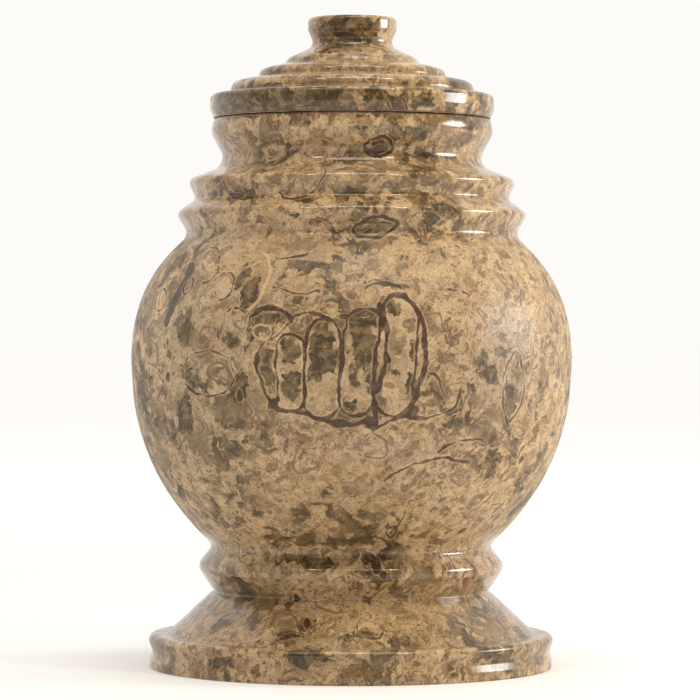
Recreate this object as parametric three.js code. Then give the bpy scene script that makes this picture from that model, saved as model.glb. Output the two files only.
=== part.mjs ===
// Cremation urn turned and polished from fossil limestone: a hollow vessel and a lid that lifts off.
// Millimetres, +Z up, origin on the axis at the underside of the foot.
// Every profile runs round circles of named radius, and the straight stretches are the tangents
// between one circle and the next.

import * as THREE from 'three';

// Turning
const facets = 36;
const chordError = 0.12;
const largestStep = 0.62;
const curveSteps = 9;

// Mouth, wall and fits
const mouthRadius = 50.0;
const mouthEdgeRound = 1.5;
const wall = 9.0;
const floorThickness = 10.0;
const floorRound = 12.0;
const throatDrop = 6.7;
const throatRound = 3.0;
const seatGap = 0.4;
const spigotClearance = 0.6;
const spigotDepth = 7.0;
const spigotEdgeRound = 1.2;

// Plinth
const plinthRadius = 93.5;
const plinthHeight = 15.5;
const plinthCornerRound = 2.7;
const plinthEdgeRound = 0.8;
const plinthLowerRadius = 92.9;
const plinthLowerCrest = 3.7;
const plinthLowerRound = 2.7;
const plinthGrooveRadius = 91.9;
const plinthGrooveHeight = 7.7;
const plinthGrooveRound = 2.1;

// Sloping foot and the bead round the neck
const slopeFootRadius = 85.1;
const slopeHeight = 20.1;
const slopeTopRadius = 67.0;
const slopeTopDrop = 4.2;
const slopeTopRound = 2.7;
const neckRadius = 63.9;
const neckRound = 0.9;
const beadRadius = 70.3;
const beadHeight = 20.3;
const beadCrest = 11.2;
const beadRound = 4.7;
const waistRadius = 65.1;
const waistRound = 3.1;

// Belly, as two curves that meet upright at the widest point
const bellyRadius = 101.9;
const lowerBellyHeight = 84.6;
const lowerFlankAngle = THREE.MathUtils.degToRad(34);
const lowerFlankReach = 5.4;
const lowerBellyReach = 53.3;
const upperBellyHeight = 59.9;
const upperFlankAngle = THREE.MathUtils.degToRad(47.7);
const upperFlankReach = 26.5;
const upperBellyReach = 19.8;

// Shoulder rings, collar and rim; each radius stands out from the collar by its projection
const collarWall = 10.1;
const collarRound = 6.4;
const shoulderGrooveProjection = 16.7;
const shoulderGrooveRound = 4.8;
const lowerRingProjection = 20.4;
const lowerRingRise = 8.3;
const lowerRingRound = 2.8;
const ringGrooveProjection = 12.7;
const ringGrooveRise = 8.2;
const ringGrooveRound = 2.4;
const upperRingProjection = 15.1;
const upperRingRise = 6.4;
const upperRingRound = 3.0;
const collarRise = 12.3;
const rimProjection = 5.0;
const rimRise = 12.4;
const rimRound = 7.0;
const rimHeight = 5.1;
const rimInset = 1.0;

// Lid; heights are measured up from the face that seats on the rim
const lidOverhang = 0.7;
const lidSeatInset = 1.7;
const lidEdgeLower = 4.8;
const lidEdgeLowerRound = 2.6;
const lidEdgeUpper = 8.7;
const lidEdgeUpperRound = 2.4;
const lidSteps = [
  { inset: 9.4, foot: 12.4, crown: 17.4, round: 4.3 },
  { inset: 22.4, foot: 19.4, crown: 23.3, round: 3.7 },
  { inset: 34.5, foot: 25.5, crown: 29.2, round: 5.2 },
];

// Knob
const knobWaistRadius = 18.5;
const knobWaistHeight = 35.6;
const knobWaistRound = 3.8;
const knobRadius = 20.5;
const knobLowerHeight = 41.3;
const knobLowerRound = 1.5;
const knobUpperHeight = 44.7;
const knobUpperRound = 2.1;
const knobTopHeight = 48.4;

// Radii and heights worked out from the sizes above
const collarRadius = mouthRadius + collarWall;
const rimRadius = collarRadius + rimProjection;
const lidRadius = rimRadius + lidOverhang;
const spigotRadius = mouthRadius - spigotClearance;
const neckHeight = plinthHeight + slopeHeight;
const waistHeight = neckHeight + beadHeight;
const widestHeight = waistHeight + lowerBellyHeight;
const shoulderHeight = widestHeight + upperBellyHeight;
const lowerRingHeight = shoulderHeight + lowerRingRise;
const ringGrooveHeight = lowerRingHeight + ringGrooveRise;
const upperRingHeight = ringGrooveHeight + upperRingRise;
const collarHeight = upperRingHeight + collarRise;
const rimCrestHeight = collarHeight + rimRise;
const rimTopHeight = rimCrestHeight + rimHeight;
const seatHeight = rimTopHeight + seatGap;
const floorHeight = waistHeight + floorThickness;
const throatHeight = shoulderHeight - throatDrop;

// A profile item is a circle { r, z, round }: round is positive where stone bulges out, negative
// where it is hollowed, and nought at a sharp corner.
const corner = (r, z) => ({ r, z, round: 0 });
const crest = (r, z, round) => ({ r: r - round, z, round });
const groove = (r, z, round) => ({ r: r + round, z, round: -round });

// Bearing of the air side on the tangent that runs from one circle to the next
function tangentBearing(from, to) {
  const dr = to.r - from.r;
  const dz = to.z - from.z;
  const side = (from.round - to.round) / Math.hypot(dr, dz);
  return Math.atan2(dz, dr) - Math.acos(THREE.MathUtils.clamp(side, -1, 1));
}

// Points on one circle between the bearings of the tangents on either side
function arcPoints({ r, z, round }, start, end) {
  if (round === 0) {
    return [new THREE.Vector2(r, z)];
  }
  const turn = Math.atan2(Math.sin(end - start), Math.cos(end - start));
  const step = Math.min(largestStep, 2 * Math.acos(1 - chordError / Math.max(Math.abs(round), 1)));
  const count = Math.max(1, Math.ceil(Math.abs(turn) / step));
  const points = [];
  for (let i = 0; i <= count; i += 1) {
    const bearing = start + (turn * i) / count;
    points.push(new THREE.Vector2(r + round * Math.cos(bearing), z + round * Math.sin(bearing)));
  }
  return points;
}

// The whole outline, with the air on its right all the way
function outline(items) {
  const bearings = items.slice(1).map((item, i) => tangentBearing(items[i], item));
  return items.flatMap((item, i) => {
    const start = bearings[i - 1] ?? bearings[i];
    const end = bearings[i] ?? bearings[i - 1];
    return arcPoints(item, start, end);
  });
}

// A solid of revolution about Z
function turned(items) {
  const geometry = new THREE.LatheGeometry(outline(items), facets);
  geometry.rotateX(Math.PI / 2);
  return geometry;
}

// Point on a circle at a bearing, where a curve takes over from it
function pointOn({ r, z, round }, bearing) {
  return new THREE.Vector2(r + round * Math.cos(bearing), z + round * Math.sin(bearing));
}

// Belly below its widest point, from the waist upward
function lowerBelly() {
  const start = pointOn(groove(waistRadius, waistHeight, waistRound), -lowerFlankAngle);
  const along = new THREE.Vector2(Math.sin(lowerFlankAngle), Math.cos(lowerFlankAngle));
  const end = new THREE.Vector2(bellyRadius, widestHeight);
  const first = start.clone().addScaledVector(along, lowerFlankReach);
  const second = new THREE.Vector2(bellyRadius, widestHeight - lowerBellyReach);
  return new THREE.CubicBezierCurve(start, first, second, end).getPoints(curveSteps);
}

// Belly above its widest point, up to the groove under the lower ring
function upperBelly() {
  const shoulderRadius = collarRadius + shoulderGrooveProjection;
  const start = new THREE.Vector2(bellyRadius, widestHeight);
  const end = pointOn(groove(shoulderRadius, shoulderHeight, shoulderGrooveRound), upperFlankAngle);
  const along = new THREE.Vector2(-Math.sin(upperFlankAngle), Math.cos(upperFlankAngle));
  const first = new THREE.Vector2(bellyRadius, widestHeight + upperBellyReach);
  const second = end.clone().addScaledVector(along, -upperFlankReach);
  return new THREE.CubicBezierCurve(start, first, second, end).getPoints(curveSteps);
}

// A row of points moved inward, square to its own run
function inset(points, distance) {
  return points.map((point, i) => {
    const before = points[Math.max(i - 1, 0)];
    const after = points[Math.min(i + 1, points.length - 1)];
    const run = after.clone().sub(before).normalize();
    return new THREE.Vector2(point.x - run.y * distance, point.y + run.x * distance);
  });
}

const asCorners = (points) => points.map((point) => corner(point.x, point.y));

// Outside of the vessel, from the middle of the underside up to the seat of the lid
function vesselOutside() {
  const belly = [...lowerBelly().slice(1), ...upperBelly().slice(1, -1)];
  return [
    corner(0, 0),
    crest(plinthLowerRadius, plinthEdgeRound, plinthEdgeRound),
    crest(plinthLowerRadius, plinthLowerCrest, plinthLowerRound),
    groove(plinthGrooveRadius, plinthGrooveHeight, plinthGrooveRound),
    crest(plinthRadius, plinthHeight - plinthCornerRound, plinthCornerRound),
    corner(slopeFootRadius, plinthHeight),
    crest(slopeTopRadius, neckHeight - slopeTopDrop, slopeTopRound),
    groove(neckRadius, neckHeight, neckRound),
    crest(beadRadius, neckHeight + beadCrest, beadRound),
    groove(waistRadius, waistHeight, waistRound),
    ...asCorners(belly),
    groove(collarRadius + shoulderGrooveProjection, shoulderHeight, shoulderGrooveRound),
    crest(collarRadius + lowerRingProjection, lowerRingHeight, lowerRingRound),
    groove(collarRadius + ringGrooveProjection, ringGrooveHeight, ringGrooveRound),
    crest(collarRadius + upperRingProjection, upperRingHeight, upperRingRound),
    groove(collarRadius, collarHeight, collarRound),
    crest(rimRadius, rimCrestHeight, rimRound),
    corner(rimRadius - rimInset, rimTopHeight),
  ];
}

// Inside of the vessel, from the mouth down to the middle of the floor
function vesselInside() {
  const flank = inset([...lowerBelly(), ...upperBelly().slice(1)], wall);
  const lining = flank.filter(
    (point) => point.y > floorHeight + floorRound && point.y < throatHeight && point.x > mouthRadius,
  );
  const lowest = lining[0];
  const slide = (lowest.y - floorHeight) * Math.tan(lowerFlankAngle);
  const halfTurn = (Math.PI / 2 - lowerFlankAngle) / 2;
  const floorCentre = Math.max(0, lowest.x - slide - floorRound * Math.tan(halfTurn));
  return [
    { r: mouthRadius + mouthEdgeRound, z: rimTopHeight - mouthEdgeRound, round: mouthEdgeRound },
    { r: mouthRadius + throatRound, z: throatHeight + throatRound, round: throatRound },
    ...asCorners(lining.reverse()),
    { r: floorCentre, z: floorHeight + floorRound, round: -floorRound },
    corner(0, floorHeight),
  ];
}

// The lid, from the middle of its spigot out along the seat and up over the steps to the knob
function lidProfile() {
  const steps = lidSteps.flatMap(({ inset: back, foot, crown, round }) => [
    corner(lidRadius - back, seatHeight + foot),
    crest(lidRadius - back, seatHeight + crown - round, round),
  ]);
  return [
    corner(0, seatHeight - spigotDepth),
    crest(spigotRadius, seatHeight - spigotDepth + spigotEdgeRound, spigotEdgeRound),
    corner(spigotRadius, seatHeight),
    corner(lidRadius - lidSeatInset, seatHeight),
    crest(lidRadius, seatHeight + lidEdgeLower, lidEdgeLowerRound),
    crest(lidRadius, seatHeight + lidEdgeUpper, lidEdgeUpperRound),
    ...steps,
    groove(knobWaistRadius, seatHeight + knobWaistHeight, knobWaistRound),
    crest(knobRadius, seatHeight + knobLowerHeight, knobLowerRound),
    crest(knobRadius, seatHeight + knobUpperHeight, knobUpperRound),
    corner(0, seatHeight + knobTopHeight),
  ];
}

const stone = { color: 0xa88b66, roughness: 0.18, metalness: 0 };

function piece(name, items) {
  const mesh = new THREE.Mesh(turned(items), new THREE.MeshStandardMaterial(stone));
  mesh.name = name;
  return mesh;
}

const group = new THREE.Group();
group.add(piece('urn_body', [...vesselOutside(), ...vesselInside()]));
group.add(piece('lid', lidProfile()));

export default group;
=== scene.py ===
"""A cremation urn turned and polished from fossil limestone: fine surfaces, stone, light, camera.

Metres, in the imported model's frame. Names that end in _MM are millimetres. Bearings are degrees
round the urn from the photographed side, growing to the right. The stone's own pattern is worked
in millimetres, and its fossils lie on a map of the outside: distance round the belly, and height.
"""

import math
import random

import bpy
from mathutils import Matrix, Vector


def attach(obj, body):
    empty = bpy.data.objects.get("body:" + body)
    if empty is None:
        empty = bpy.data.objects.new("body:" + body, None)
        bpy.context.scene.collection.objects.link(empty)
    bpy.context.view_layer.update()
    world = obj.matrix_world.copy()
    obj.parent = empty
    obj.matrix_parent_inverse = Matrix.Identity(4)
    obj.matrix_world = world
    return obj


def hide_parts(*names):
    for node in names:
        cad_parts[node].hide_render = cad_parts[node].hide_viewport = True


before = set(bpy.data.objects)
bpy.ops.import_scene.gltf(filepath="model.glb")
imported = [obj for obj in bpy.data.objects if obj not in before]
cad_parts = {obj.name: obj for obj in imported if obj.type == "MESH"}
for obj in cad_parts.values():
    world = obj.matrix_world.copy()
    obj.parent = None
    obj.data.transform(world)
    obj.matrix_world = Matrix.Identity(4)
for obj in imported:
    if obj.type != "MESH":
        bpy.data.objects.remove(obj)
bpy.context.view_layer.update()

# Where the photograph was taken from, and how it shows the urn
MM_PER_PIXEL = 0.4635
PHOTO_WIDTH = 700
AXIS_COLUMN = 351.6
EYE_ROW = 330.0
GROUND_ROW = 666.0
LEAN = math.radians(-0.14)
EYE_DISTANCE_MM = 3520 * MM_PER_PIXEL
EYE_HEIGHT_MM = (GROUND_ROW - EYE_ROW) * MM_PER_PIXEL
SENSOR_MM = 36.0

# Turning
SIDES = 240
ON_PLANE_MM = 0.01
WELD_MM = 0.004
SHARP_TURN = math.radians(40)
FINE_TURN = math.radians(5.5)
EDGE_ROUND_MM = 0.35
EDGE_ROUND_SHARE = 0.4
EDGE_STEPS = 4
STRAIGHT_RATIO = 1.8
LONG_STRAIGHT_MM = 3.0
SUPPORT_MM = 0.4

# Stone colours, as bare linear numbers
CREAM = (0.65, 0.46, 0.25)
BEIGE = (0.43, 0.30, 0.175)
GOLD = (0.49, 0.315, 0.14)
SAND = (0.29, 0.19, 0.09)
OLIVE = (0.135, 0.092, 0.040)
MOSS = (0.045, 0.032, 0.016)
CLAY_TINT = (0.34, 0.305, 0.20)
UMBER = (0.052, 0.018, 0.008)
BROWN = (0.150, 0.074, 0.036)
RUST = (0.40, 0.175, 0.06)
SLATE = (0.055, 0.042, 0.032)
ASH = (0.47, 0.36, 0.245)

# Gloss, as the shader's roughness: the polish, and what dulls it
POLISH = 0.12
BELLY_DULLS = 0.34
PLINTH_DULLS = 0.07
CLAY_DULLS = 0.05
SAWN_LEAST = 0.62
SAWN_MOST = 0.80

# Heights in mm between which the belly's duller polish starts and ends, and the plinth's ends
BELLY_START = (58.0, 66.0)
BELLY_END = (202.0, 194.0)
PLINTH_END = (26.0, 18.0)
SEAT_GAP_MM = 0.4

# Where the sawn faces end: above the foot's lowest edge, outside the lid's spigot and seat, and
# this many rows of the outline past the mouth's highest
FOOT_EDGE_MM = 0.3
LID_SEAT_MM = 64.2
MOUTH_ROWS = 6


def mm(*lengths):
    """Millimetres as metres."""
    return Vector(lengths) / 1000


class Value:
    """A number, vector or colour that varies: one output socket, with sums written as sums."""

    def __init__(self, graph, socket):
        self.graph = graph
        self.socket = socket

    def also(self, name):
        """Another output of the same node."""
        return Value(self.graph, self.socket.node.outputs[name])

    def __add__(self, other):
        return self.graph.math("ADD", self, other)

    def __radd__(self, other):
        return self.graph.math("ADD", other, self)

    def __sub__(self, other):
        return self.graph.math("SUBTRACT", self, other)

    def __rsub__(self, other):
        return self.graph.math("SUBTRACT", other, self)

    def __mul__(self, other):
        return self.graph.math("MULTIPLY", self, other)

    def __rmul__(self, other):
        return self.graph.math("MULTIPLY", other, self)

    def __truediv__(self, other):
        return self.graph.math("DIVIDE", self, other)

    def __mod__(self, other):
        return self.graph.math("MODULO", self, other)

    def __abs__(self):
        return self.graph.math("ABSOLUTE", self)


class Graph:
    """A node tree and the means to add to it."""

    def __init__(self, tree):
        self.tree = tree

    def add(self, kind, settings=None, inputs=None, output=0):
        """Adds a node: its type, its settings, then a value or link for each socket named."""
        node = self.tree.nodes.new(kind)
        for name, value in (settings or {}).items():
            setattr(node, name, value)
        for name, value in (inputs or {}).items():
            if isinstance(value, Value):
                self.tree.links.new(value.socket, node.inputs[name])
            else:
                node.inputs[name].default_value = value
        if not node.outputs:
            return None
        return Value(self, node.outputs[output])

    def math(self, operation, *terms):
        return self.add("ShaderNodeMath", {"operation": operation}, dict(enumerate(terms)))

    def vector(self, operation, *terms):
        """Vector maths; a length comes from the second output."""
        output = "Value" if operation in ("LENGTH", "DISTANCE", "DOT_PRODUCT") else "Vector"
        settings = {"operation": operation}
        return self.add("ShaderNodeVectorMath", settings, dict(enumerate(terms)), output)

    def least(self, values):
        """The least of some values, each taken up as soon as it is worked out."""
        result = None
        for value in values:
            result = value if result is None else self.math("MINIMUM", result, value)
        return result

    def merged(self, values, fillet):
        """The same, with hollow fillets where two of them meet."""
        result = values[0]
        for value in values[1:]:
            result = self.math("SMOOTH_MIN", result, value, fillet)
        return result

    def ease(self, value, start, end, low=0.0, high=1.0):
        """Runs smoothly from low to high as the value goes from start to end."""
        settings = {"interpolation_type": "SMOOTHSTEP"}
        inputs = {"Value": value, "From Min": start, "From Max": end, "To Min": low, "To Max": high}
        return self.add("ShaderNodeMapRange", settings, inputs)

    def noise(self, place, size, detail=2.0, roughness=0.5, distortion=0.0, output="Fac"):
        """Cloudy noise whose lumps are about as wide as size, in the units of place."""
        inputs = {
            "Vector": place,
            "Scale": 1.0 / size,
            "Detail": detail,
            "Roughness": roughness,
            "Distortion": distortion,
        }
        return self.add("ShaderNodeTexNoise", {"noise_dimensions": "3D"}, inputs, output)

    def blend(self, factor, under, over, kind="MIX"):
        """Colour over colour, by a factor."""
        settings = {"data_type": "RGBA", "blend_type": kind, "clamp_factor": True}
        inputs = {0: factor, 6: self.colour(under), 7: self.colour(over)}
        return self.add("ShaderNodeMix", settings, inputs, 2)

    def colour(self, value):
        return value if isinstance(value, Value) else (*value, 1.0)


# Profiles

def meridian(node):
    """Half outline of a turned CAD node as (radius, height) in mm, from its low end on the axis."""
    mesh = node.data
    links = {}
    for edge in mesh.edges:
        ends = [mesh.vertices[i].co * 1000 for i in edge.vertices]
        if any(abs(end.y) > ON_PLANE_MM or end.x < -ON_PLANE_MM for end in ends):
            continue
        first, second = [(round(end.x, 3), round(end.z, 3)) for end in ends]
        if first != second:
            links.setdefault(first, set()).add(second)
            links.setdefault(second, set()).add(first)
    tips = sorted((p for p in links if len(links[p]) == 1), key=lambda p: p[1])
    outline = [tips[0]]
    before = None
    while len(outline) == 1 or len(links[outline[-1]]) > 1:
        after = [p for p in links[outline[-1]] if p != before]
        before = outline[-1]
        outline.append(after[0])
    return [Vector(p) for p in outline]


def eased_corners(points):
    """The outline with a small round on each sharp corner."""
    result = [points[0]]
    for before, point, after in zip(points, points[1:], points[2:]):
        arrive = point - before
        leave = after - point
        if arrive.angle(leave) < SHARP_TURN:
            result.append(point)
            continue
        shorter = min(EDGE_ROUND_SHARE * arrive.length, EDGE_ROUND_SHARE * leave.length)
        reach = min(EDGE_ROUND_MM, shorter)
        start = point - arrive.normalized() * reach
        end = point + leave.normalized() * reach
        for i in range(EDGE_STEPS + 1):
            t = i / EDGE_STEPS
            result.append(start * (1 - t) ** 2 + point * 2 * t * (1 - t) + end * t * t)
    result.append(points[-1])
    return result


def tangents(points):
    """Direction of the outline at each point: that of a circle through it and its neighbours, or of
    the straight stretch that ends there."""
    result = [(points[1] - points[0]).normalized()]
    for before, point, after in zip(points, points[1:], points[2:]):
        arrive = point - before
        leave = after - point
        if arrive.length > STRAIGHT_RATIO * leave.length:
            result.append(arrive.normalized())
        elif leave.length > STRAIGHT_RATIO * arrive.length:
            result.append(leave.normalized())
        else:
            mean = arrive.normalized() * leave.length + leave.normalized() * arrive.length
            result.append(mean.normalized())
    result.append((points[-1] - points[-2]).normalized())
    return result


def fine_outline(points):
    """The outline with enough points that its rounds look round."""
    points = eased_corners(points)
    directions = tangents(points)
    result = [points[0]]
    for i, (start, end) in enumerate(zip(points, points[1:])):
        chord = end - start
        turn = directions[i].angle(directions[i + 1])
        count = math.ceil(turn / FINE_TURN)
        if count > 1:
            reach = chord.length / 3 / math.cos(turn / 4) ** 2
            first = start + directions[i] * reach
            second = end - directions[i + 1] * reach
            for k in range(1, count):
                t = k / count
                s = 1 - t
                between = start * s**3 + first * 3 * s * s * t + second * 3 * s * t * t + end * t**3
                result.append(between)
        elif chord.length > LONG_STRAIGHT_MM:
            along = chord.normalized() * SUPPORT_MM
            result.extend((start + along, end - along))
        result.append(end)
    return result


# Turned solids

LATHE_INPUTS = (
    ("Profile", "NodeSocketGeometry"),
    ("Sides", "NodeSocketInt"),
    ("Rows", "NodeSocketInt"),
    ("Polished from row", "NodeSocketInt"),
    ("Polished to row", "NodeSocketInt"),
    ("Weld distance", "NodeSocketFloat"),
    ("Polished stone", "NodeSocketMaterial"),
    ("Sawn stone", "NodeSocketMaterial"),
)


def lathe_tree():
    """Turns a profile's points about Z into a closed skin, polished between two of its rows."""
    tree = bpy.data.node_groups.new("lathe", "GeometryNodeTree")
    for name, kind in LATHE_INPUTS:
        tree.interface.new_socket(name=name, in_out="INPUT", socket_type=kind)
    tree.interface.new_socket(name="Turned", in_out="OUTPUT", socket_type="NodeSocketGeometry")
    lathe = Graph(tree)
    profile = lathe.add("NodeGroupInput", output="Profile")
    sides = profile.also("Sides")
    rows = profile.also("Rows")
    index = lathe.add("GeometryNodeInputIndex")
    grid = lathe.add("GeometryNodeMeshGrid", None, {"Vertices X": sides + 1, "Vertices Y": rows})
    place = lathe.add(
        "GeometryNodeSampleIndex",
        {"data_type": "FLOAT_VECTOR", "domain": "POINT"},
        {
            "Geometry": profile,
            "Value": lathe.add("GeometryNodeInputPosition"),
            "Index": index % rows,
        },
    )
    radius = lathe.add("ShaderNodeSeparateXYZ", None, {0: place}, "X")
    turn = lathe.math("FLOOR", index / rows) * math.tau / sides
    around = {
        "X": radius * lathe.math("COSINE", turn),
        "Y": radius * lathe.math("SINE", turn),
        "Z": radius.also("Z"),
    }
    placed = lathe.add(
        "GeometryNodeSetPosition",
        None,
        {"Geometry": grid, "Position": lathe.add("ShaderNodeCombineXYZ", None, around)},
    )
    strip = index % (rows - 1)
    after = lathe.math("GREATER_THAN", strip, profile.also("Polished from row") - 0.5)
    until = lathe.math("LESS_THAN", strip, profile.also("Polished to row"))
    marked = lathe.add(
        "GeometryNodeStoreNamedAttribute",
        {"data_type": "BOOLEAN", "domain": "FACE"},
        {"Geometry": placed, "Name": "polished", "Value": after * until},
    )
    welded = lathe.add(
        "GeometryNodeMergeByDistance",
        None,
        {"Geometry": marked, "Distance": profile.also("Weld distance")},
    )
    smooth = lathe.add("GeometryNodeSetShadeSmooth", None, {"Geometry": welded})
    real = lathe.add("GeometryNodeRealizeInstances", None, {"Geometry": smooth})
    sawn = lathe.add(
        "GeometryNodeSetMaterial", None, {"Geometry": real, "Material": profile.also("Sawn stone")}
    )
    settings = {"data_type": "BOOLEAN"}
    polished = lathe.add("GeometryNodeInputNamedAttribute", settings, {"Name": "polished"})
    finished = lathe.add(
        "GeometryNodeSetMaterial",
        None,
        {"Geometry": sawn, "Selection": polished, "Material": profile.also("Polished stone")},
    )
    lathe.add("NodeGroupOutput", None, {"Turned": finished})
    return tree


def turned_piece(name, outline, tree, polished_rows, polished, sawn):
    """A solid of revolution made by the lathe tree, as a plain mesh."""
    rows = bpy.data.meshes.new(name)
    edges = [(i, i + 1) for i in range(len(outline) - 1)]
    rows.from_pydata([mm(p.x, 0, p.y) for p in outline], edges, [])
    piece = bpy.data.objects.new(name, rows)
    bpy.context.scene.collection.objects.link(piece)
    lathe = piece.modifiers.new("lathe", "NODES")
    lathe.node_group = tree
    values = {
        "Sides": SIDES,
        "Rows": len(outline),
        "Polished from row": polished_rows[0],
        "Polished to row": polished_rows[1],
        "Weld distance": WELD_MM / 1000,
        "Polished stone": polished,
        "Sawn stone": sawn,
    }
    for item in tree.interface.items_tree:
        if item.in_out == "INPUT" and item.name in values:
            lathe[item.identifier] = values[item.name]
    done = piece.evaluated_get(bpy.context.evaluated_depsgraph_get())
    skin = bpy.data.meshes.new_from_object(done)
    piece.modifiers.clear()
    piece.data = skin
    skin.name = name
    return piece


# The map of the outside

AIMING_ROUNDS = 6
EDGE_OF_SIGHT = 0.995
LEAST_FACING = 0.3
NEARLY_STRAIGHT = 0.02
body_outline = meridian(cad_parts["urn_body"])
lid_outline = meridian(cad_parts["lid"])
BELLY_RADIUS_MM = max(p.x for p in body_outline)
SEAM_HEIGHT_MM = max(p.y for p in body_outline) + SEAT_GAP_MM / 2


def radius_at(height):
    """Outside radius of the urn at a height, lid and all."""
    widest = 0.0
    for outline in (body_outline, lid_outline):
        for low, high in zip(outline, outline[1:]):
            if min(low.y, high.y) <= height <= max(low.y, high.y) and low.y != high.y:
                t = (height - low.y) / (high.y - low.y)
                widest = max(widest, low.x + t * (high.x - low.x))
    return widest


def seen_at(column, row):
    """Bearing in radians and height in mm of the stone that the photograph shows at a pixel."""
    scale = MM_PER_PIXEL
    for _ in range(AIMING_ROUNDS):
        height = EYE_HEIGHT_MM - (row - EYE_ROW) * scale
        radius = max(radius_at(height), 1.0)
        aside = (column - AXIS_COLUMN) * scale / radius
        aside = max(-EDGE_OF_SIGHT, min(EDGE_OF_SIGHT, aside))
        bearing = math.asin(aside)
        scale = MM_PER_PIXEL * (1 - radius * math.cos(bearing) / EYE_DISTANCE_MM)
    return bearing, height, radius, scale


def mapped(column, row):
    """The same as a point of the map."""
    bearing, height, _, _ = seen_at(column, row)
    return Vector((bearing * BELLY_RADIUS_MM, height))


def mapped_span(column, row, half_width, half_height):
    """Half sizes on the map of a mark of the given half sizes in the photograph."""
    bearing, _, radius, scale = seen_at(column, row)
    stretch = BELLY_RADIUS_MM / radius / max(math.cos(bearing), LEAST_FACING)
    return half_width * scale * stretch, half_height * scale


# Fossils, each as the distance in mm to its edge, negative inside

class Stone(Graph):
    """The limestone's node tree, with its coordinates and the shapes that fossils are cut to."""

    def __init__(self, name):
        self.material = bpy.data.materials.new(name)
        self.material.use_nodes = True
        super().__init__(self.material.node_tree)
        self.tree.nodes.clear()
        metres = self.add("ShaderNodeTexCoord", output="Object")
        self.place = self.vector("MULTIPLY", metres, (1000, 1000, 1000))

    def outside_map(self, place):
        """Distance round the belly and height."""
        x = self.add("ShaderNodeSeparateXYZ", None, {0: place}, "X")
        bearing = self.math("ARCTAN2", x, 0 - x.also("Y"))
        inputs = {"X": bearing * BELLY_RADIUS_MM, "Y": x.also("Z")}
        return self.add("ShaderNodeCombineXYZ", None, inputs)

    def drift(self, size, detail):
        """A push that changes from place to place, about nought."""
        push = self.noise(self.place, size, detail, output="Color")
        return self.vector("SUBTRACT", push, (0.5, 0.5, 0.5))

    def pushed(self, place, push, amount):
        """A place moved by an amount of a push, in mm."""
        return self.vector("MULTIPLY_ADD", push, (amount, amount, amount), place)

    def framed(self, chart, centre, tilt):
        """The map seen from a mark's centre, and turned with it."""
        near = self.vector("SUBTRACT", chart, (*centre, 0))
        if not tilt:
            return near
        settings = {"rotation_type": "Z_AXIS"}
        return self.add("ShaderNodeVectorRotate", settings, {"Vector": near, "Angle": -tilt})

    def oval(self, chart, centre, half_sizes, tilt=0.0):
        near = self.framed(chart, centre, tilt)
        near = self.vector("DIVIDE", near, (*half_sizes, 1))
        return (self.vector("LENGTH", near) - 1) * math.sqrt(half_sizes[0] * half_sizes[1])

    def capsule(self, chart, start, end, radius):
        """A stick with round ends."""
        along = (end - start) / 2
        near = self.framed(chart, (start + end) / 2, math.atan2(along.y, along.x))
        near = self.vector("ABSOLUTE", near)
        near = self.vector("SUBTRACT", near, (along.length, 0, 0))
        near = self.vector("MAXIMUM", near, (0, 0, 0))
        return self.vector("LENGTH", near) - radius

    def arc(self, chart, start, middle, end, width):
        """A bent line through three points."""
        a = middle - start
        b = end - start
        cross = a.x * b.y - a.y * b.x
        if abs(cross) < NEARLY_STRAIGHT * a.length * b.length:
            return self.capsule(chart, start, end, width / 2)
        to_centre = Vector((b.y * a.length_squared - a.y * b.length_squared,
                            a.x * b.length_squared - b.x * a.length_squared)) / (2 * cross)
        centre = start + to_centre
        ring = abs(self.vector("DISTANCE", chart, (*centre, 0)) - to_centre.length) - width / 2
        between = (start + end) / 2
        reach = b.length / 2
        far = self.vector("DISTANCE", chart, (*between, 0))
        shallow = (middle - between).length <= reach
        return self.math("MAXIMUM", ring, far - reach if shallow else reach - far)


def picture_oval(stone, chart, column, row, half_width, half_height, tilt=0.0):
    spans = mapped_span(column, row, half_width, half_height)
    return stone.oval(chart, mapped(column, row), spans, math.radians(tilt))


def picture_arc(stone, chart, start, middle, end, width):
    return stone.arc(chart, mapped(*start), mapped(*middle), mapped(*end), width)


def picture_stick(stone, chart, start, end, radius):
    return stone.capsule(chart, mapped(*start), mapped(*end), radius)


# Chambers of the big coiled shell, left to right: ends of each chamber's middle line, and radius
CHAMBERS = (
    ((290, 349), (290, 398), 5.9),
    ((323, 337), (321, 400), 6.8),
    ((363, 325), (355, 398), 7.4),
    ((399, 316), (395, 395), 8.2),
)
# Walls between and round the chambers: three points of each, and its width in mm
WALL_ARCS = (
    ((379, 308), (388, 348), (376, 392), 1.8),
    ((402, 295), (418, 311), (426, 340), 2.3),
    ((426, 340), (425, 368), (418, 394), 2.5),
    ((418, 394), (415, 404), (412, 414), 1.8),
    ((398, 294), (386, 301), (382, 316), 1.0),
    ((295, 316), (311, 314), (327, 320), 1.2),
    ((258, 359), (263, 389), (280, 409), 1.2),
    ((280, 409), (306, 414), (337, 424), 1.5),
    ((337, 424), (353, 425), (367, 418), 1.3),
    ((371, 429), (392, 419), (409, 414), 1.3),
    ((409, 414), (426, 417), (441, 413), 1.2),
    ((441, 413), (453, 405), (460, 390), 1.0),
    ((248, 319), (268, 308), (293, 322), 1.8),
    ((293, 323), (282, 331), (272, 339), 0.8),
    ((272, 339), (261, 347), (258, 359), 0.8),
    ((363, 288), (381, 285), (401, 287), 1.4),
)
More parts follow.
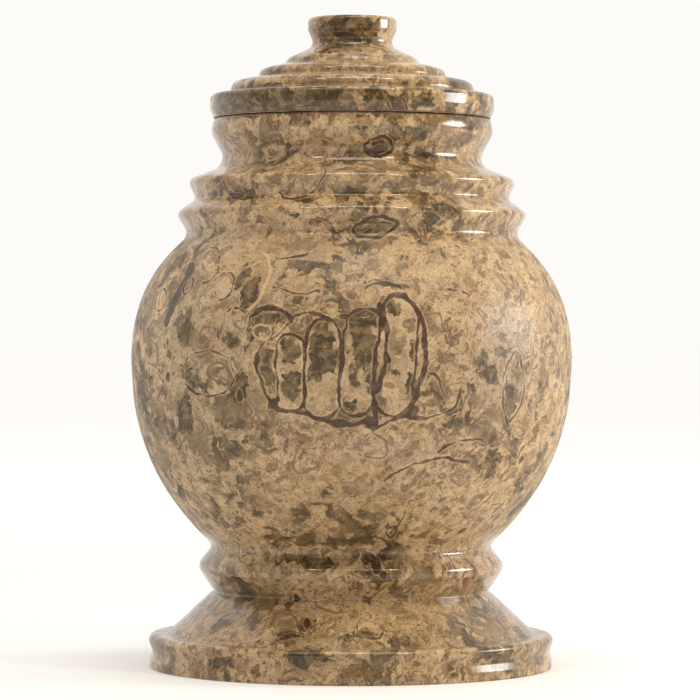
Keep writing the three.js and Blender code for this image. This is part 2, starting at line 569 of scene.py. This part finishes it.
# Other dark lines, the same
LINE_ARCS = (
    ((275, 287), (294, 292), (318, 293), 0.9),
    ((270, 257), (288, 259), (309, 255), 0.8),
    ((516, 350), (503, 390), (510, 426), 0.9),
    ((516, 352), (524, 388), (511, 421), 0.7),
    ((383, 481), (420, 463), (472, 463), 1.0),
    ((437, 453), (458, 442), (483, 441), 0.7),
    ((474, 510), (485, 502), (495, 492), 0.8),
    ((392, 531), (402, 519), (407, 509), 0.6),
    ((196, 257), (219, 253), (219, 266), 0.6),
    ((219, 266), (214, 277), (205, 284), 0.6),
    ((278, 190), (303, 196), (326, 170), 0.9),
    ((149, 362), (147, 383), (158, 404), 0.9),
    ((164, 386), (160, 394), (158, 404), 0.9),
    ((248, 316), (221, 317), (219, 343), 0.6),
    ((360, 147), (376, 137), (393, 147), 1.3),
    ((361, 149), (378, 156), (394, 147), 2.0),
    ((352, 229), (374, 216), (398, 222), 1.5),
    ((352, 230), (377, 236), (399, 223), 1.6),
    ((360, 230), (376, 222), (391, 222), 0.8),
    ((385, 99), (388, 106), (392, 112), 1.2),
    ((402, 98), (407, 106), (411, 113), 1.4),
    ((358, 628), (372, 640), (385, 627), 0.6),
    ((446, 288), (462, 292), (474, 300), 0.6),
    ((430, 372), (441, 384), (444, 398), 0.6),
)
# Rings: column, row, half width, half height, tilt in degrees
LINE_RINGS = (
    (206, 374, 25, 24, 0),
    (188, 286, 5, 8, -28),
    (225, 286, 8, 14, 0),
    (176, 362, 4, 6, 15),
    (392, 531, 5, 5, 0),
    (160, 301, 6, 9, -10),
)
# Solid brown where the shell's walls meet
WALL_CORNERS = (
    (375, 406, 3, 12, 8),
    (340, 422, 8, 4, 0),
    (370, 422, 7, 6, 35),
    (413, 410, 8, 4, 10),
    (274, 401, 3, 7, -30),
    (304, 413, 5, 2, 0),
)
# Other small solid brown marks
BROWN_MARKS = (
    (376, 150, 10, 4, 6),
    (342, 316, 5, 3, 0),
    (378, 309, 3, 6, 0),
    (389, 358, 3, 6, 10),
    (240, 396, 3, 6, -10),
    (522, 459, 3, 4, 0),
    (168, 377, 3, 5, 0),
    (247, 442, 4, 2, 10),
    (371, 556, 7, 5, -20),
    (377, 565, 5, 6, 30),
    (383, 573, 3, 4, 0),
    (306, 623, 3, 5, 25),
    (290, 637, 9, 2, 5),
    (347, 37, 14, 4, -4),
    (236, 195, 8, 3, 0),
)
# Places where olive clay has filled a shell or a gap
CLAY_FILLS = (
    (265, 366, 6, 17, 0),
    (268, 318, 20, 7, 4),
    (258, 329, 8, 7, 0),
    (253, 333, 7, 6, 0),
    (289, 350, 9, 13, 0),
    (288, 384, 10, 12, 0),
    (320, 335, 8, 14, 0),
    (325, 359, 13, 14, 0),
    (361, 322, 15, 14, 0),
    (366, 347, 12, 16, 0),
    (357, 376, 6, 10, 0),
    (347, 404, 6, 6, 0),
    (353, 420, 20, 7, 0),
    (378, 398, 5, 16, 6),
    (308, 563, 24, 5, 0),
    (302, 624, 8, 6, 0),
    (288, 637, 13, 4, 0),
    (239, 584, 13, 4, 0),
    (307, 657, 20, 6, 0),
    (393, 309, 9, 8, 0),
    (411, 323, 7, 8, 0),
    (415, 352, 4, 10, 0),
    (415, 388, 5, 14, 0),
    (241, 278, 5, 12, 0),
    (250, 297, 9, 12, 0),
    (231, 339, 6, 7, 0),
    (187, 372, 5, 9, 0),
    (197, 385, 9, 7, 0),
    (186, 332, 6, 9, 0),
    (185, 414, 7, 18, -15),
    (511, 396, 5, 16, 4),
    (377, 145, 13, 6, 5),
    (240, 194, 10, 4, 0),
    (243, 98, 11, 8, 0),
    (267, 97, 12, 8, 0),
    (322, 100, 13, 9, 0),
    (377, 97, 12, 8, 0),
    (237, 385, 11, 15, -8),
    (320, 268, 22, 5, -4),
    (385, 286, 17, 3, -4),
    (378, 573, 12, 5, 0),
    (376, 225, 16, 5, -3),
)
# Soft patches where the stone is more or less mottled: column, row, half sizes, strength
MOTTLED = (
    (335, 365, 90, 60, 0.095),
    (250, 100, 60, 16, 0.17),
    (350, 100, 90, 11, 0.14),
    (235, 290, 55, 45, -0.06),
    (366, 252, 30, 13, 0.10),
    (345, 35, 40, 16, 0.20),
    (370, 150, 70, 26, 0.04),
    (270, 188, 90, 18, 0.06),
    (350, 560, 150, 18, -0.02),
    (290, 541, 80, 9, 0.07),
    (232, 480, 36, 60, 0.03),
    (500, 290, 60, 60, -0.05),
    (250, 607, 60, 20, 0.04),
    (400, 607, 90, 22, -0.06),
    (340, 68, 100, 20, -0.06),
    (212, 205, 30, 22, 0.06),
    (350, 490, 120, 50, -0.04),
)
# Broad tints: column, row, half sizes, colour, strength
TINTS = (
    (195, 350, 55, 110, ASH, 0.45),
    (505, 350, 35, 90, ASH, 0.35),
    (390, 452, 50, 18, ASH, 0.40),
    (330, 500, 100, 36, GOLD, 0.45),
    (330, 262, 140, 30, GOLD, 0.60),
    (296, 291, 24, 6, RUST, 0.25),
    (364, 531, 17, 7, RUST, 0.60),
    (364, 531, 13, 5, BROWN, 0.60),
    (385, 612, 70, 22, GOLD, 0.35),
    (255, 610, 60, 24, SAND, 0.30),
    # The two slate tints are painted shade: they darken the middle of the belly and its right side,
    # where the window lamp lights it
    (350, 362, 78, 62, SLATE, 0.19),
    (486, 352, 58, 84, SLATE, 0.17),
)
# Half widths of the chambers' rims and of the rings, how far out the rims lie, and the hollow
# fillets where walls meet
RIM_MM = 0.5
RING_MM = 0.28
RIM_OUT_MM = 0.45
WALL_FILLET_MM = 2.2
# The ribbed shell: its hinge's pixel, and its ribs by bearing in degrees and reach in pixels
SHELL_HINGE = Vector((196, 272))
RIB_BEARINGS = range(-52, 15, 11)
RIB_START = 16
RIB_END = 23
RIB_RADIUS_MM = 0.1
# The dark spine beside it, and the bulb at its upper end
SPINE = ((189, 274), (167, 322), 2.4)
SPINE_BULB = (190, 271, 5, 7, -30)
# Smooth pale insides of shells: column, row, half sizes, tilt
PALE_FILLS = (
    (214, 380, 12, 17, 0),
    (263, 332, 6, 6, 0),
    (224, 287, 6, 11, 0),
    (160, 300, 5, 9, 0),
    (374, 227, 13, 3, -3),
    (283, 329, 8, 3, -30),
)
# Pale edges: three points of each, and its width
PALE_ARCS = (
    ((362, 562), (363, 554), (370, 551), 1.0),
    ((358, 634), (366, 625), (377, 629), 0.9),
    ((264, 252), (267, 284), (248, 310), 1.3),
    ((300, 342), (304, 352), (302, 364), 1.0),
    ((252, 330), (261, 324), (271, 331), 0.8),
    ((252, 331), (262, 340), (271, 332), 0.8),
    ((165, 284), (160, 298), (164, 312), 2.2),
    ((190, 262), (182, 270), (176, 283), 0.8),
)


def picture_fossils(stone, chart, loose_chart):
    """Distances to the dark lines, the clay fills, the pale insides and the dark spine."""
    hollow = stone.least(picture_stick(stone, chart, *chamber) for chamber in CHAMBERS)
    sticks = (picture_stick(stone, chart, *chamber) for chamber in CHAMBERS)
    rims = (abs(stick - RIM_OUT_MM) - RIM_MM for stick in sticks)
    rings = stone.least(abs(picture_oval(stone, chart, *ring)) - RING_MM for ring in LINE_RINGS)
    joins = (picture_arc(stone, chart, *arc) for arc in WALL_ARCS)
    corners = (picture_oval(stone, chart, *corner) for corner in WALL_CORNERS)
    walls = stone.merged([*rims, *joins, *corners], WALL_FILLET_MM)
    arcs = stone.least(picture_arc(stone, chart, *arc) for arc in LINE_ARCS)
    marks = stone.least(picture_oval(stone, chart, *mark) for mark in BROWN_MARKS)

    def rib(bearing):
        swing = math.radians(bearing)
        along = Vector((math.cos(swing), math.sin(swing)))
        start = SHELL_HINGE + along * RIB_START
        return picture_stick(stone, chart, start, SHELL_HINGE + along * RIB_END, RIB_RADIUS_MM)

    ribs = stone.least(rib(bearing) for bearing in RIB_BEARINGS)
    spine = picture_stick(stone, chart, *SPINE)
    bulb = picture_oval(stone, chart, *SPINE_BULB)
    fills = stone.least(picture_oval(stone, loose_chart, *fill) for fill in CLAY_FILLS)
    lines = stone.least((walls, rings, arcs, marks, ribs))
    pale = stone.least(picture_oval(stone, chart, *inside) for inside in PALE_FILLS)
    return lines, fills, stone.least((hollow, pale)), stone.least((spine, bulb))


# More shells, out of the photograph's sight: where, as parts of half a turn, and how high, how
# big and how tilted
HIDDEN_TURN = (0.42, 1.0)
HIDDEN_HEIGHT_MM = (70, 200)
HIDDEN_SIZE_MM = (4, 14)
HIDDEN_TILT = (-1.2, 1.2)
# The share of them that are ovals, how flat, and half the line's width; how bent the others are,
# and their line's width
HIDDEN_OVALS = 0.5
HIDDEN_FLATNESS = (0.4, 0.9)
HIDDEN_RING_MM = 0.4
HIDDEN_BULGE = (0.2, 0.6)
HIDDEN_ARC_MM = 1.0


def hidden_fossils(stone, chart, count=12, seed=11):
    """Dark lines of more shells round the sides and back."""
    dice = random.Random(seed)
    half_turn = math.pi * BELLY_RADIUS_MM

    def shell():
        bearing = dice.uniform(*HIDDEN_TURN) * half_turn * dice.choice((-1, 1))
        centre = Vector((bearing, dice.uniform(*HIDDEN_HEIGHT_MM)))
        size = dice.uniform(*HIDDEN_SIZE_MM)
        tilt = dice.uniform(*HIDDEN_TILT)
        if dice.random() < HIDDEN_OVALS:
            half_sizes = (size, size * dice.uniform(*HIDDEN_FLATNESS))
            return abs(stone.oval(chart, centre, half_sizes, tilt)) - HIDDEN_RING_MM
        across = Vector((math.cos(tilt), math.sin(tilt))) * size
        bulge = Vector((-across.y, across.x)) * dice.uniform(*HIDDEN_BULGE)
        return stone.arc(chart, centre - across, centre + bulge, centre + across, HIDDEN_ARC_MM)

    return stone.least(shell() for _ in range(count))


def scattered_shells(stone, place, spacing, half_sizes, width, opening, share):
    """Distance to the cut edges of shells strewn through the block, some of them broken open."""
    inputs = {"Vector": place, "Scale": 1.0 / spacing, "Randomness": 0.85}
    centre = stone.add("ShaderNodeTexVoronoi", {"voronoi_dimensions": "3D"}, inputs, "Position")
    dice = centre.also("Color")
    near = stone.vector("SUBTRACT", place, centre)
    turn = stone.vector("MULTIPLY", dice, (math.tau, math.tau, math.tau))
    inputs = {"Vector": near, "Rotation": turn}
    near = stone.add("ShaderNodeVectorRotate", {"rotation_type": "EULER_XYZ"}, inputs)
    across = stone.vector("MULTIPLY", near, tuple(1.0 / size for size in half_sizes))
    ring = abs(stone.vector("LENGTH", across) - 1) * min(half_sizes) - width / 2
    ahead = stone.vector("DOT_PRODUCT", near, (1, 0, 0))
    chance = stone.vector("DOT_PRODUCT", dice, (0, 1, 0))
    missing = stone.math("GREATER_THAN", chance, share) * spacing
    return stone.math("MAXIMUM", ring, ahead - opening) + missing


# Flakes in the bed, coarse to fine: spacing in mm, tilt in degrees, stretch, strength
FLAKES = (
    (13.0, 70, 1.6, 0.40),
    (5.2, 32, 2.4, 0.42),
    (2.6, -48, 2.2, 0.60),
)
# Flakes closer than this have dark ones among them
DARK_FLAKES_MM = 10


def block_matrix(stone, wandering):
    """The bed of crushed shell: beige to gold, broken into flakes and crumbs of different tone."""
    place = stone.place
    x = stone.vector("DOT_PRODUCT", place, (1, 0, 0))
    warmth = stone.noise(place, size=50.0, detail=1.0) + stone.ease(x, -90.0, 90.0, -0.22, 0.22)
    colour = stone.blend(stone.ease(warmth, 0.36, 0.66), BEIGE, GOLD)
    cloud = stone.noise(wandering, size=8.0, detail=2.5, roughness=0.55)
    colour = stone.blend(stone.ease(cloud, 0.51, 0.70, high=0.70), colour, CREAM)
    colour = stone.blend(stone.ease(cloud, 0.49, 0.30, high=0.80), colour, SAND)
    for spacing, tilt, stretch, strength in FLAKES:
        bedded = stone.add(
            "ShaderNodeMapping",
            {"vector_type": "TEXTURE"},
            {
                "Vector": wandering,
                "Rotation": (0.3, math.radians(tilt), 0.6),
                "Scale": (stretch, 1.5, 1.0),
            },
        )
        inputs = {"Vector": bedded, "Scale": 1.0 / spacing, "Randomness": 1.0}
        cells = stone.add("ShaderNodeTexVoronoi", {"voronoi_dimensions": "3D"}, inputs, "Color")
        tone = stone.vector("DOT_PRODUCT", cells, (1, 0, 0))
        colour = stone.blend(stone.ease(tone, 0.50, 1.0, high=strength), colour, CREAM)
        colour = stone.blend(stone.ease(tone, 0.50, 0.0, high=strength), colour, SAND)
        if spacing < DARK_FLAKES_MM:
            colour = stone.blend(stone.ease(tone, 0.12, 0.10, high=strength * 1.4), colour, BROWN)
    crumb = stone.noise(wandering, size=2.2, detail=2.0, roughness=0.65, distortion=0.6)
    colour = stone.blend(stone.ease(crumb, 0.54, 0.68, high=0.55), colour, CREAM)
    colour = stone.blend(stone.ease(crumb, 0.44, 0.34, high=0.75), colour, BROWN)
    return colour, cloud


# Strewn shells, lengths in mm: spacing, half sizes, width of the cut edge, where it breaks open,
# and the share of places that have one
BIG_SHELLS = (24.0, (10.0, 5.0, 8.0), 0.6, 1.0, 0.35)
SMALL_SHELLS = (9.0, (3.8, 1.5, 3.0), 0.4, 0.3, 0.5)
# How far noise pushes the bed about, and the fossils' edges
SWAY_MM = 7.0
WANDER_MM = 5.0
FLUTTER_MM = 2.4
FOSSIL_SWAY_MM = 5.0
FOSSIL_FLUTTER_MM = 0.9
# Clay lies where its cloud passes this level, with a dark rim on the way
CLAY_EDGE = (0.684, 0.712)
CLAY_RIM = 0.694


def stone_colour(stone, with_fossils):
    """Colour of the cut stone, with how deep in clay it is and its grain."""
    place = stone.place
    push = stone.drift(size=13.0, detail=2.0)
    nudge = stone.drift(size=2.6, detail=1.0)
    swayed = stone.pushed(place, push, SWAY_MM)
    wandering = stone.pushed(stone.pushed(swayed, push, WANDER_MM), nudge, FLUTTER_MM)
    colour, cloud = block_matrix(stone, wandering)
    speckle = stone.noise(wandering, size=3.2, detail=2.0, roughness=0.6)
    swell = stone.noise(place, size=7.0, detail=1.0)

    if with_fossils:
        wobble = stone.pushed(place, nudge, FOSSIL_FLUTTER_MM)
        chart = stone.outside_map(stone.pushed(wobble, push, FOSSIL_SWAY_MM))
        loose_chart = stone.outside_map(wandering)
        # Broad tints; the slate ones on the belly are painted shade
        for column, row, half_width, half_height, tint, strength in TINTS:
            patch = picture_oval(stone, loose_chart, column, row, half_width, half_height)
            soft = min(mapped_span(column, row, half_width, half_height))
            colour = stone.blend(stone.ease(patch, soft * 0.6, -soft, high=strength), colour, tint)

    # Bent flakes, seen as short lines along the contours of a stretched cloud
    bedded = stone.add(
        "ShaderNodeMapping",
        {"vector_type": "TEXTURE"},
        {"Vector": wandering, "Rotation": (0, math.radians(-36), 0), "Scale": (3.0, 2.4, 1.0)},
    )
    contour = abs(stone.noise(bedded, size=2.4, detail=2.0, roughness=0.55, distortion=0.8) - 0.5)
    dark_edge = stone.ease(contour, 0.030, 0.008) * stone.ease(speckle, 0.47, 0.55) * 0.85
    colour = stone.blend(dark_edge, colour, BROWN)
    pale_edge = stone.ease(contour, 0.06, 0.02) * stone.ease(speckle, 0.46, 0.36) * 0.6
    colour = stone.blend(pale_edge, colour, CREAM)

    # Rust stains
    stain = stone.noise(wandering, size=15.0, detail=2.6, roughness=0.62)
    colour = stone.blend(stone.ease(stain, 0.56, 0.72, high=0.40), colour, RUST)

    # Fine grain, under the clay and the fossils
    grain = stone.noise(place, size=1.1, detail=1.0, roughness=0.7)
    colour = stone.blend(stone.ease(grain, 0.55, 0.75, high=0.6), colour, BROWN)
    colour = stone.blend(stone.ease(grain, 0.45, 0.25, high=0.5), colour, CREAM)

    # Clay in the gaps, with crisp wandering edges, deep in some places and thin in others
    region = stone.noise(place, size=46.0, detail=1.0)
    clay = stone.noise(wandering, size=8.2, detail=3.2, roughness=0.56) + region * 0.50 - 0.12
    depth = stone.noise(place, size=21.0, detail=2.0)
    if with_fossils:
        bias = 0.0
        for column, row, half_width, half_height, strength in MOTTLED:
            patch = picture_oval(stone, loose_chart, column, row, half_width, half_height)
            soft = min(mapped_span(column, row, half_width, half_height))
            bias = bias + stone.ease(patch, -soft, soft * 0.6, strength, 0.0)
        lines, fills, hollow, spine = picture_fossils(stone, chart, loose_chart)
        lines = stone.least((lines, hidden_fossils(stone, chart)))
        fills = fills + (speckle - 0.5) * 8.0
        in_fill = stone.ease(fills, 1.4, -0.6)
        clay = clay + bias + in_fill * 0.30 + stone.ease(hollow, 0.4, -0.4, high=-0.10)
        depth = depth + bias * 1.3 + in_fill * 0.30
        colour = stone.blend(stone.ease(hollow, 0.3, -0.5, high=0.35), colour, CREAM)
    depth = stone.ease(depth, 0.38, 0.60, 0.40, 1.0)
    veil = stone.noise(wandering, size=4.2, detail=2.0, roughness=0.6)
    depth = depth * stone.ease(veil, 0.36, 0.54, 0.55, 1.0)
    in_clay = stone.ease(clay, *CLAY_EDGE) * depth
    tinted = stone.blend(1.0, colour, CLAY_TINT, "MULTIPLY")
    tinted = stone.blend(stone.ease(speckle, 0.60, 0.42, high=0.88), tinted, MOSS)
    tinted = stone.blend(stone.ease(cloud, 0.46, 0.70, high=0.5), tinted, OLIVE)
    colour = stone.blend(stone.ease(clay, 0.58, 0.69, high=0.5), colour, SAND)
    colour = stone.blend(in_clay, colour, tinted)
    rim = stone.ease(abs(clay - CLAY_RIM), 0.012, 0.003, high=0.65) * depth
    colour = stone.blend(rim, colour, UMBER)

    # Shells strewn through the block at two sizes
    big = scattered_shells(stone, swayed, *BIG_SHELLS)
    small = scattered_shells(stone, swayed, *SMALL_SHELLS)
    strewn = stone.least((big, small)) + (swell - 0.5) * 1.2
    colour = stone.blend(stone.ease(strewn, 0.9, 0.45, high=0.15), colour, CREAM)
    colour = stone.blend(stone.ease(strewn, 0.25, -0.05, high=0.65), colour, BROWN)

    # The big fossils last, their lines swelling and fading
    if with_fossils:
        colour = stone.blend(stone.ease(spine, 0.35, -0.2, high=0.9), colour, SLATE)
        lines = lines + (swell - 0.45) * 1.5 + (speckle - 0.5) * 1.2 + (veil - 0.5) * 1.4
        colour = stone.blend(stone.ease(lines, 1.2, 0.6, high=0.22), colour, CREAM)
        pale = stone.least(picture_arc(stone, chart, *arc) for arc in PALE_ARCS)
        colour = stone.blend(stone.ease(pale, 0.35, -0.2, high=0.75), colour, CREAM)
        drawn = stone.ease(lines, 0.30, -0.10) * stone.ease(speckle, 0.35, 0.6, 0.75, 0.97)
        colour = stone.blend(drawn, colour, UMBER)
        # Painted shade: a dark band round the urn along the seam between the lid and the body
        z = stone.vector("DOT_PRODUCT", place, (0, 0, 1))
        seam_shade = abs(z - SEAM_HEIGHT_MM)
        colour = stone.blend(stone.ease(seam_shade, 0.95, 0.55, high=0.85), colour, UMBER)
    return colour, in_clay, grain


def limestone(name, polished):
    """The stone, either polished outside or sawn and left plain."""
    stone = Stone(name)
    colour, in_clay, grain = stone_colour(stone, with_fossils=polished)
    if polished:
        z = stone.vector("DOT_PRODUCT", stone.place, (0, 0, 1))
        on_belly = stone.ease(z, *BELLY_START) * stone.ease(z, *BELLY_END)
        height = grain * 0.03 + stone.noise(stone.place, size=14.0, detail=1.0)
        on_plinth = stone.ease(z, *PLINTH_END)
        dulled = on_belly * BELLY_DULLS + on_plinth * PLINTH_DULLS + in_clay * CLAY_DULLS
        roughness = dulled + POLISH
        bump = {"Strength": 0.35, "Distance": 0.00012, "Height": height}
    else:
        roughness = stone.ease(grain, 0.3, 0.7, SAWN_LEAST, SAWN_MOST)
        bump = {"Strength": 0.6, "Distance": 0.00025, "Height": grain}
        colour = stone.blend(0.22, colour, CREAM)
    normal = stone.add("ShaderNodeBump", None, bump)
    inputs = {"IOR": 1.5, "Base Color": colour, "Roughness": roughness, "Normal": normal}
    surface = stone.add("ShaderNodeBsdfPrincipled", None, inputs)
    stone.add("ShaderNodeOutputMaterial", None, {"Surface": surface})
    return stone.material


# Stage

DAYLIGHT = (1.0, 0.985, 0.96)
# How bright the sky is ahead of the urn, and what is added behind, above and to the left
SKY_AHEAD = 0.14
SKY_BEHIND = 0.84
SKY_ABOVE = 0.25
SKY_LEFT = 0.30
# The floor: its half width in metres, its paint, and its glow, dimmer within reach of the urn
FLOOR_HALF_M = 30.0
FLOOR_PAINT = (0.82, 0.81, 0.79)
FLOOR_GLOW = 0.40
NEAR_GLOW = (0.34, 0.34, 0.34)
NEAR_M = 0.25
FAR_M = 1.8
LAMP_AIM_M = 0.16


def pale_floor():
    """A wide plain floor."""
    half = FLOOR_HALF_M
    mesh = bpy.data.meshes.new("floor")
    corners = [(-half, -half, 0), (half, -half, 0), (half, half, 0), (-half, half, 0)]
    mesh.from_pydata(corners, [], [(0, 1, 2, 3)])
    floor = bpy.data.objects.new("floor", mesh)
    bpy.context.scene.collection.objects.link(floor)
    paint = bpy.data.materials.new("floor_paint")
    paint.use_nodes = True
    flat = Graph(paint.node_tree)
    flat.tree.nodes.clear()
    away = flat.vector("LENGTH", flat.add("ShaderNodeTexCoord", output="Object"))
    glow = flat.blend(flat.ease(away, NEAR_M, FAR_M), NEAR_GLOW, DAYLIGHT)
    inputs = {
        "Base Color": flat.colour(FLOOR_PAINT),
        "Roughness": 0.9,
        "Emission Color": glow,
        "Emission Strength": FLOOR_GLOW,
    }
    surface = flat.add("ShaderNodeBsdfPrincipled", None, inputs)
    flat.add("ShaderNodeOutputMaterial", None, {"Surface": surface})
    mesh.materials.append(paint)


def sky():
    """Soft light from all round, brightest from behind the urn, dim where the camera stands."""
    world = bpy.data.worlds.new("studio")
    world.use_nodes = True
    bpy.context.scene.world = world
    room = Graph(world.node_tree)
    room.tree.nodes.clear()
    direction = room.add("ShaderNodeTexCoord", output="Generated")
    x = room.add("ShaderNodeSeparateXYZ", None, {0: direction}, "X")
    behind = room.ease(x.also("Y"), -0.4, 0.7, high=SKY_BEHIND)
    above = room.ease(x.also("Z"), 0.2, 1.0, high=SKY_ABOVE)
    left = room.ease(x, -0.3, -1.0, high=SKY_LEFT)
    inputs = {"Color": room.colour(DAYLIGHT), "Strength": behind + above + left + SKY_AHEAD}
    light = room.add("ShaderNodeBackground", None, inputs)
    room.add("ShaderNodeOutputWorld", None, {"Surface": light})


def softbox(name, bearing, elevation, distance, size, power, colour):
    """A soft round or oval lamp that faces the middle of the urn."""
    lamp = bpy.data.lights.new(name, "AREA")
    lamp.shape = "ELLIPSE"
    lamp.size, lamp.size_y = size
    lamp.energy = power
    lamp.color = colour
    holder = bpy.data.objects.new(name, lamp)
    bpy.context.scene.collection.objects.link(holder)
    aim = Vector((0, 0, LAMP_AIM_M))
    round_to = math.radians(bearing)
    up = math.radians(elevation)
    level = math.cos(up)
    offset = Vector((math.sin(round_to) * level, -math.cos(round_to) * level, math.sin(up)))
    holder.location = aim + offset * distance
    holder.rotation_euler = (-offset).to_track_quat("-Z", "Y").to_euler()


def photo_camera():
    """A level camera at the photograph's eye point, with the frame shifted to take the urn in."""
    camera = bpy.data.cameras.new("camera")
    camera.sensor_width = SENSOR_MM
    camera.lens = SENSOR_MM * EYE_DISTANCE_MM / MM_PER_PIXEL / PHOTO_WIDTH
    camera.shift_x = (PHOTO_WIDTH / 2 - AXIS_COLUMN) / PHOTO_WIDTH
    camera.shift_y = (EYE_ROW - PHOTO_WIDTH / 2) / PHOTO_WIDTH
    holder = bpy.data.objects.new("camera", camera)
    holder.location = mm(0, -EYE_DISTANCE_MM, EYE_HEIGHT_MM)
    holder.rotation_euler = (math.radians(90), LEAN, 0)
    bpy.context.scene.collection.objects.link(holder)
    bpy.context.scene.camera = holder


def row_of(outline, test):
    """First row of an outline that passes a test."""
    return next(i for i, point in enumerate(outline) if test(point))


photo_camera()
pale_floor()
sky()
softbox(
    "window_right",
    bearing=91,
    elevation=12,
    distance=1.5,
    size=(0.68, 0.44),
    power=12.3,
    colour=(1.0, 0.985, 0.95),
)
softbox(
    "lamp_front_right",
    bearing=41,
    elevation=50,
    distance=1.8,
    size=(0.20, 0.14),
    power=4.0,
    colour=(1.0, 0.87, 0.68),
)
softbox(
    "lamp_front_left",
    bearing=-37,
    elevation=50,
    distance=1.8,
    size=(0.20, 0.14),
    power=3.0,
    colour=(1.0, 0.89, 0.72),
)
softbox(
    "ceiling_front",
    bearing=8,
    elevation=68,
    distance=2.2,
    size=(1.4, 1.0),
    power=19.0,
    colour=(1.0, 0.96, 0.88),
)

polished_stone = limestone("polished_limestone", polished=True)
sawn_stone = limestone("sawn_limestone", polished=False)
lathe = lathe_tree()

body_rows = fine_outline(body_outline)
lid_rows = fine_outline(lid_outline)
mouth_row = max(range(len(body_rows)), key=lambda i: body_rows[i].y)
foot_row = row_of(body_rows, lambda p: p.y > FOOT_EDGE_MM)
seat_row = row_of(lid_rows, lambda p: p.x > LID_SEAT_MM)

body_polished = (foot_row, mouth_row + MOUTH_ROWS)
lid_polished = (seat_row, len(lid_rows))
body = turned_piece("urn_body_stone", body_rows, lathe, body_polished, polished_stone, sawn_stone)
lid = turned_piece("lid_stone", lid_rows, lathe, lid_polished, polished_stone, sawn_stone)
for piece, node in ((body, "urn_body"), (lid, "lid")):
    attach(piece, "root")
    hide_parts(node)

bpy.context.scene.view_settings.view_transform = "Standard"
